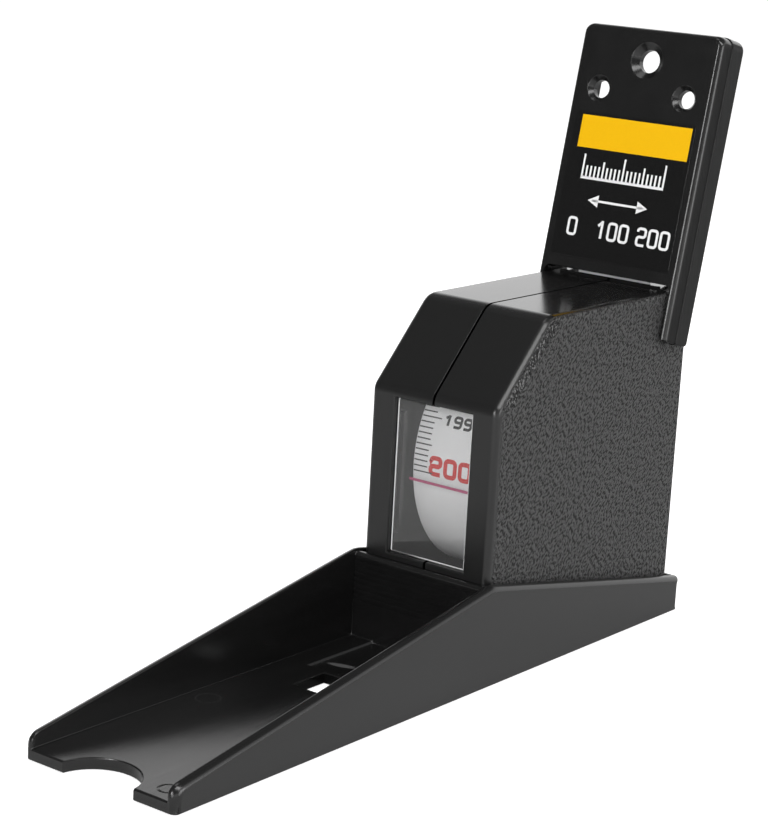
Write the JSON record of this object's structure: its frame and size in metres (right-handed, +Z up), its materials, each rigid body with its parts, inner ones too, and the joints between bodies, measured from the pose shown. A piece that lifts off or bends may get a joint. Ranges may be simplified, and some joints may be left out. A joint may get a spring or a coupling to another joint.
{
  "type": "wall-mounted stadiometer",
  "caption": "Wall-mounted stadiometer: a screwed wall plate holds a sprung steel tape, and a windowed reading housing with a wedge-shaped head tray slides down on it.",
  "frame": {"origin": "the middle of the tray's wall side at its measuring face, x = 0 on the middle plane", "axes": "-Y along the tray towards its tip, +Y towards the wall, +Z up, +X to the side with no screws"},
  "size_m": [0.0314, 0.1484, 0.1095],
  "materials": {
    "plate_plastic": "satin",
    "label_film": "gloss",
    "yellow_print": "satin",
    "white_print": "satin",
    "tape_steel": "satin",
    "zinc_steel": "satin",
    "spring_steel": "satin",
    "case_plastic": "satin",
    "tray_plastic": "satin",
    "lens_clear": "clear",
    "line_print": "satin",
    "reel_plastic": "satin",
    "washer_plastic": "satin"
  },
  "bodies": {
    "plate": {"wall_plate": "plate_plastic", "plate_label": "label_film", "label_stripe": "yellow_print", "label_scale": "white_print", "tape_clamp": "zinc_steel", "clamp_screws": "zinc_steel", "tape_run": "tape_steel"},
    "tape": {"tape_nip": "tape_steel"},
    "head": {"tape_lead": "tape_steel", "shell_right": "case_plastic", "shell_left": "case_plastic", "window_lens": "lens_clear", "reading_line": "line_print", "head_tray": "tray_plastic", "shell_screws": "zinc_steel", "tray_screws": "zinc_steel", "reel_post": "zinc_steel", "post_screw": "zinc_steel", "reel_washers": "washer_plastic"},
    "reel": {"tape_drum": "reel_plastic", "drum_cover": "reel_plastic", "mainspring": "spring_steel", "tape_coil": "tape_steel"}
  },
  "joints": [
    {"name": "head_slide", "type": "slide", "parent": "plate", "child": "tape", "axis": [0, -0.2113, -0.9774], "range_m": [0, 2], "stiffness_N_per_m": 0.8, "springref_m": -4, "deforming": ["tape_run"]},
    {"name": "head_tilt", "type": "hinge", "parent": "tape", "child": "head", "pos_m": [0, -0.0071, 0.0631], "axis": [-1, 0, 0], "range_deg": [0, 12.2]},
    {"name": "reel_spin", "type": "hinge", "parent": "head", "child": "reel", "pos_m": [0, -0.0342, 0.0338], "axis": [1, 0, 0], "range_deg": [0, 5559]}
  ],
  "couplings": [
    {"joint": "reel_spin", "follows": "head_slide", "rad_per_m": 48.498}
  ]
}
